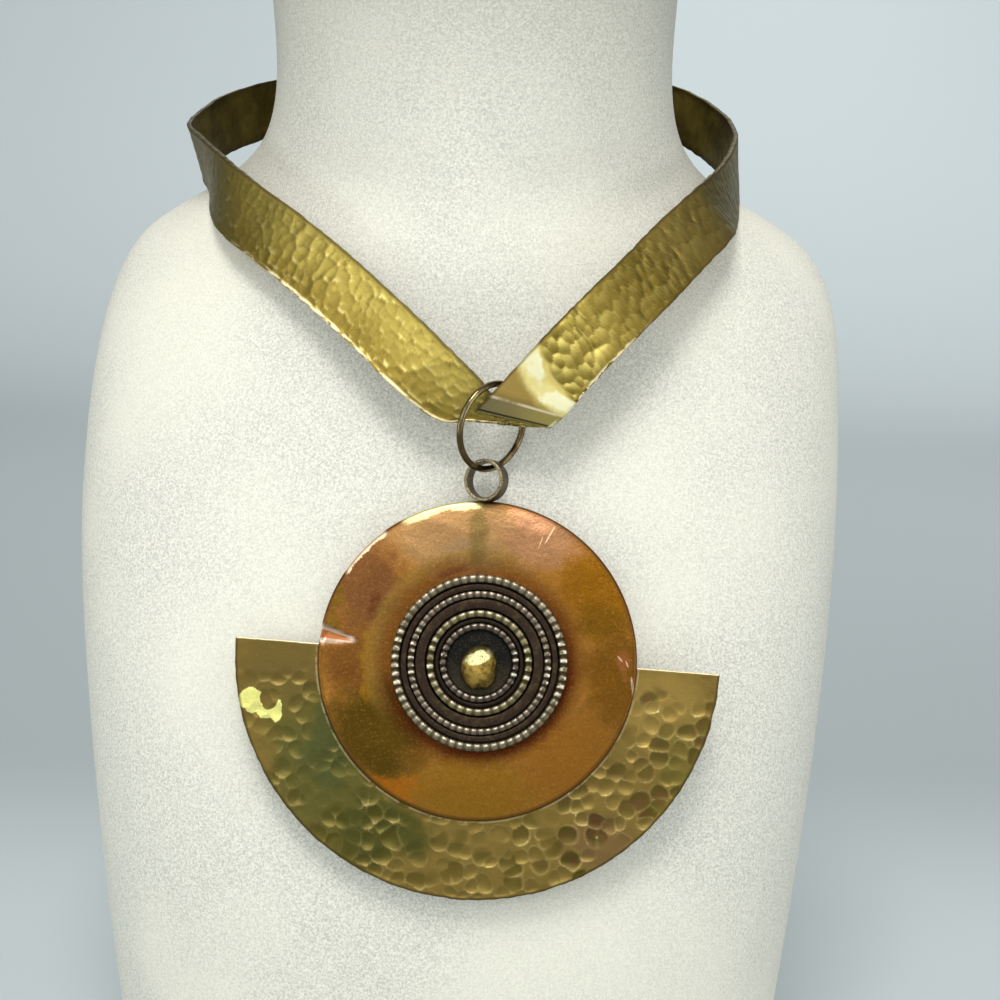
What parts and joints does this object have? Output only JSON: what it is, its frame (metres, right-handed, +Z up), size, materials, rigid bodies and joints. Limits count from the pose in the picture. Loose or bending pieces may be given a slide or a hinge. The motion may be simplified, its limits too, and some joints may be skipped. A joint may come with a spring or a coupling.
{
  "type": "medallion choker on a neck bust",
  "caption": "Hammered brass choker folded into a V, with a hanging copper disc, half-moon plate and beaded rosette, shown on a plain neck bust.",
  "frame": {"origin": "on the surface that the bust stands on, under the axis of the neck", "axes": "+Z up, -Y to the front, where the pendant hangs, +X to the viewer's right"},
  "size_m": [0.2062, 0.15, 0.316],
  "materials": {
    "bust_cream": "matt, lightly speckled",
    "band_brass": "hammered and polished",
    "wire_bronze": "darkened wire",
    "disc_copper": "copper, heat-coloured and dented",
    "half_moon_brass": "hammered, with green and brown patina",
    "rosette_dark": "blackened copper",
    "beaded_wire": "ribbed wire, worn bright on top",
    "nugget_brass": "melted brass"
  },
  "bodies": {
    "bust": {"neck_bust": "bust_cream", "choker_band": "band_brass", "clasp": "wire_bronze", "jump_ring": "wire_bronze"},
    "pendant": {"disc": "disc_copper", "half_moon": "half_moon_brass", "rosette_base": "rosette_dark", "beaded_ring_1": "beaded_wire", "beaded_ring_2": "beaded_wire", "beaded_ring_3": "beaded_wire", "beaded_ring_4": "beaded_wire", "nugget": "nugget_brass"}
  },
  "joints": [
    {"name": "pendant_swing", "type": "hinge", "parent": "bust", "child": "pendant", "pos_m": [0.0078, -0.069, 0.185], "axis": [-1, 0, 0], "range_deg": [0, 50]}
  ]
}
